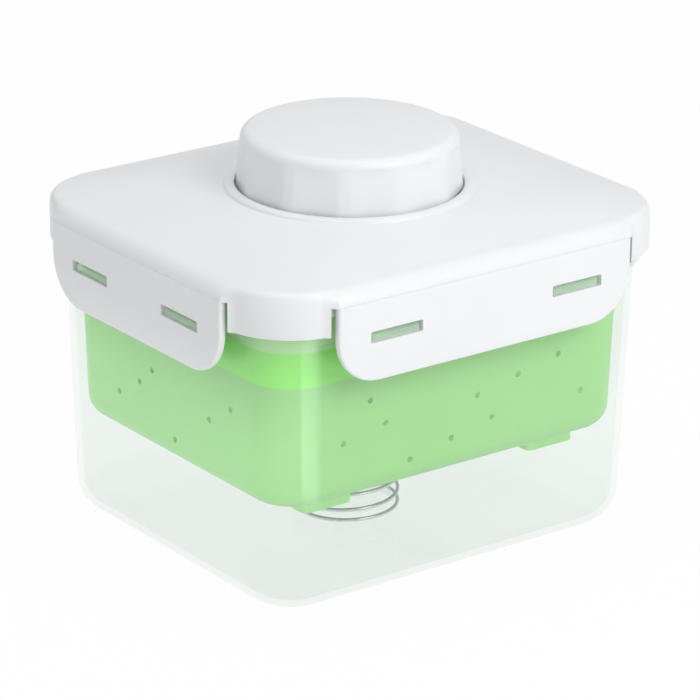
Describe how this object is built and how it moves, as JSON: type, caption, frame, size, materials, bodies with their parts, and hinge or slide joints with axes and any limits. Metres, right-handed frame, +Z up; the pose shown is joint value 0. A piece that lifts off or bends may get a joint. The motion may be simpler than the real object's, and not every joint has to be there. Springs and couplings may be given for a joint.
{
  "type": "tofu press",
  "caption": "Clear latched container with a sprung strainer basket and a screw knob that drives a press plate down onto the food.",
  "frame": {"origin": "centre of the container's underside", "axes": "+X along the long side, +Y across towards the back latch, +Z up along the knob's axis"},
  "size_m": [0.16, 0.1396, 0.1288],
  "materials": {
    "clear_plastic": "clear polypropylene, slightly milky",
    "green_plastic": "translucent green polypropylene",
    "white_plastic": "white polypropylene, satin",
    "silicone": "matte",
    "steel": "bright stainless"
  },
  "bodies": {
    "container": {"container": "clear_plastic", "spring": "steel"},
    "basket": {"basket": "green_plastic"},
    "lid": {"lid": "white_plastic", "lid_gasket": "silicone"},
    "latch_front": {"latch_front": "white_plastic"},
    "latch_back": {"latch_back": "white_plastic"},
    "latch_left": {"latch_left": "white_plastic"},
    "latch_right": {"latch_right": "white_plastic"},
    "press": {"press_plate": "white_plastic", "press_cover": "white_plastic", "swivel_ring": "white_plastic", "ring_screws": "steel", "thrust_washer": "silicone"},
    "knob": {"knob_cap": "white_plastic", "knob_post": "white_plastic", "knob_screws": "steel"}
  },
  "joints": [
    {"name": "basket_float", "type": "slide", "parent": "container", "child": "basket", "axis": [0, 0, 1], "range_m": [-0.014, 0], "stiffness_N_per_m": 1500, "springref_m": 0.012, "deforming": ["spring"]},
    {"name": "lid_lift", "type": "slide", "parent": "container", "child": "lid", "axis": [0, 0, 1], "range_m": [0, 0.12]},
    {"name": "latch_front_hinge", "type": "hinge", "parent": "lid", "child": "latch_front", "pos_m": [0, -0.0698, 0.1011], "axis": [-1, 0, 0], "range_deg": [0, 110]},
    {"name": "latch_back_hinge", "type": "hinge", "parent": "lid", "child": "latch_back", "pos_m": [0, 0.0698, 0.1011], "axis": [1, 0, 0], "range_deg": [0, 110]},
    {"name": "latch_left_hinge", "type": "hinge", "parent": "lid", "child": "latch_left", "pos_m": [-0.08, 0, 0.1011], "axis": [0, 1, 0], "range_deg": [0, 110]},
    {"name": "latch_right_hinge", "type": "hinge", "parent": "lid", "child": "latch_right", "pos_m": [0.08, 0, 0.1011], "axis": [0, -1, 0], "range_deg": [0, 110]},
    {"name": "press_travel", "type": "slide", "parent": "lid", "child": "press", "axis": [0, 0, 1], "range_m": [0, 0.028]},
    {"name": "knob_turn", "type": "hinge", "parent": "press", "child": "knob", "pos_m": [0, 0, 0.11], "axis": [0, 0, 1], "range_deg": [0, 720]}
  ],
  "couplings": [
    {"joint": "press_travel", "follows": "knob_turn", "m_per_rad": 0.0022282}
  ]
}
